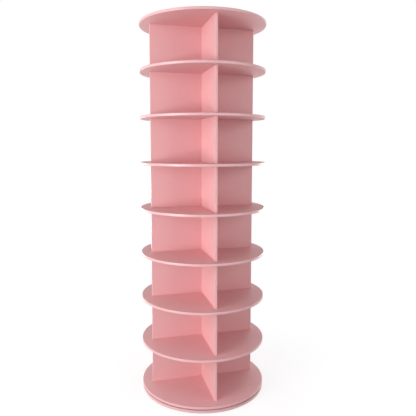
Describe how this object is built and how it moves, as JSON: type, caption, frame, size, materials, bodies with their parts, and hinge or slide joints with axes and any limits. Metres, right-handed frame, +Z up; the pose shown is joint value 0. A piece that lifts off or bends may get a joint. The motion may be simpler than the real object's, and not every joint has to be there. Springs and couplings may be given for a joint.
{
  "type": "rotating shoe tower",
  "caption": "Round free-standing shoe tower: stacked round shelf boards with crossed divider panels between them, turning on a ball bearing over a round base board.",
  "frame": {"origin": "on the floor, under the middle of the base board", "axes": "+Z up along the axis that the tower turns on; the divider panels stand along X and along Y at rest, and the front is towards -Y"},
  "size_m": [0.61, 0.61, 1.7923],
  "materials": {
    "pink_paint": "satin pink paint on fibreboard",
    "zinc_steel": "bright zinc plate",
    "ball_steel": "polished",
    "pad_rubber": "matt black"
  },
  "bodies": {
    "base": {"base_board": "pink_paint", "foot_pad_1": "pad_rubber", "foot_pad_2": "pad_rubber", "foot_pad_3": "pad_rubber", "foot_pad_4": "pad_rubber", "foot_pad_5": "pad_rubber", "foot_pad_6": "pad_rubber", "lower_bearing_plate": "zinc_steel", "lower_bearing_screw_1": "zinc_steel", "lower_bearing_screw_2": "zinc_steel", "lower_bearing_screw_3": "zinc_steel", "lower_bearing_screw_4": "zinc_steel"},
    "ball_ring": {"ball_ring": "ball_steel"},
    "tower": {"upper_bearing_plate": "zinc_steel", "upper_bearing_screw_1": "zinc_steel", "upper_bearing_screw_2": "zinc_steel", "upper_bearing_screw_3": "zinc_steel", "upper_bearing_screw_4": "zinc_steel", "bottom_shelf": "pink_paint", "shelf_2": "pink_paint", "shelf_3": "pink_paint", "shelf_4": "pink_paint", "shelf_5": "pink_paint", "shelf_6": "pink_paint", "shelf_7": "pink_paint", "shelf_8": "pink_paint", "top_board": "pink_paint", "tier_1_divider_left_right": "pink_paint", "tier_1_divider_front_back": "pink_paint", "tier_2_divider_left_right": "pink_paint", "tier_2_divider_front_back": "pink_paint", "tier_3_divider_left_right": "pink_paint", "tier_3_divider_front_back": "pink_paint", "tier_4_divider_left_right": "pink_paint", "tier_4_divider_front_back": "pink_paint", "tier_5_divider_left_right": "pink_paint", "tier_5_divider_front_back": "pink_paint", "tier_6_divider_left_right": "pink_paint", "tier_6_divider_front_back": "pink_paint", "tier_7_divider_left_right": "pink_paint", "tier_7_divider_front_back": "pink_paint", "tier_8_divider_left_right": "pink_paint", "tier_8_divider_front_back": "pink_paint"}
  },
  "joints": [
    {"name": "tower_spin", "type": "hinge", "parent": "base", "child": "tower", "pos_m": [0, 0, 0.0157], "axis": [0, 0, 1], "continuous": true},
    {"name": "ball_ring_roll", "type": "hinge", "parent": "base", "child": "ball_ring", "pos_m": [0, 0, 0.0157], "axis": [0, 0, 1], "continuous": true}
  ],
  "couplings": [
    {"joint": "ball_ring_roll", "follows": "tower_spin", "ratio": 0.5}
  ]
}
